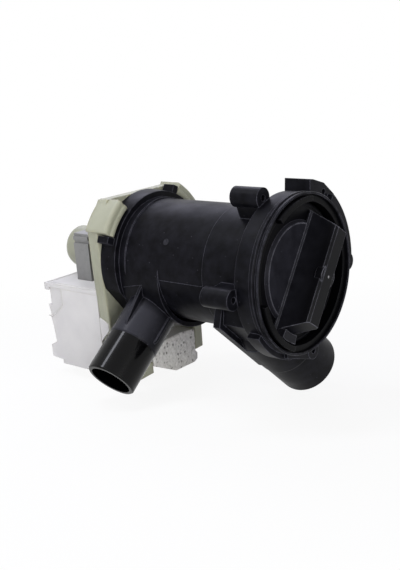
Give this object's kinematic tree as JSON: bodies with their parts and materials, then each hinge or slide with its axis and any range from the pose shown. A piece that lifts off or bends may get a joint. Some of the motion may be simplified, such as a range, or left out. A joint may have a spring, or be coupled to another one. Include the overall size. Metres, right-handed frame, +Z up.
{
  "type": "washer drain pump",
  "caption": "Washer drain pump: dark filter tube with screw cap, fixing collar, inlet and outlet pipes, and a synchronous motor with a white coil cover on the back.",
  "frame": {"origin": "on the pump axis, in the plane of the screw faces of the two side bosses", "axes": "+Y along the pump axis from the cap to the motor, +Z up as the pump stands on a table"},
  "size_m": [0.1338, 0.2145, 0.1425],
  "materials": {
    "dark_plastic": "satin moulded",
    "ivory_plastic": "translucent moulded",
    "white_plastic": "moulded",
    "core_steel": "stamped laminations",
    "ground_steel": "ground",
    "sintered_bronze": "sintered",
    "copper_wire": "enamelled wire",
    "ferrite": "ground ceramic",
    "soft_rubber": "moulded",
    "brown_plastic": "moulded"
  },
  "bodies": {
    "pump": {"filter_housing": "dark_plastic", "motor_plate": "ivory_plastic", "pump_seal": "soft_rubber", "bearing_cap": "ivory_plastic", "shaft_seal": "soft_rubber", "front_bush": "sintered_bronze", "front_bush_ring": "soft_rubber", "rear_bush": "sintered_bronze", "rear_bush_ring": "soft_rubber", "stator_core": "core_steel", "left_bobbin": "white_plastic", "right_bobbin": "white_plastic", "left_winding": "copper_wire", "right_winding": "copper_wire", "coil_cover": "white_plastic", "terminal_tabs": "ground_steel", "thermal_cutout": "brown_plastic"},
    "seal_ring": {"cap_seal": "soft_rubber"},
    "cap": {"filter_cap": "dark_plastic", "lint_filter": "dark_plastic"},
    "rotor": {"rotor_shaft": "ground_steel", "rotor_hub": "white_plastic", "rotor_magnet": "ferrite", "drive_dog": "white_plastic", "thrust_washers": "ground_steel"},
    "impeller": {"impeller": "dark_plastic", "impeller_cover": "dark_plastic", "stop_buffers": "soft_rubber"}
  },
  "joints": [
    {"name": "cap_draw", "type": "slide", "parent": "pump", "child": "seal_ring", "axis": [0, -1, 0], "range_m": [0, 0.012]},
    {"name": "cap_turn", "type": "hinge", "parent": "seal_ring", "child": "cap", "pos_m": [0, 0, 0], "axis": [0, -1, 0], "range_deg": [0, 360]},
    {"name": "rotor_spin", "type": "hinge", "parent": "pump", "child": "rotor", "pos_m": [0, 0.12, 0], "axis": [0, 1, 0], "continuous": true},
    {"name": "impeller_lag", "type": "hinge", "parent": "rotor", "child": "impeller", "pos_m": [0, 0.09, 0], "axis": [0, 1, 0], "range_deg": [0, 240]}
  ],
  "couplings": [
    {"joint": "cap_draw", "follows": "cap_turn", "m_per_rad": 0.0019}
  ]
}
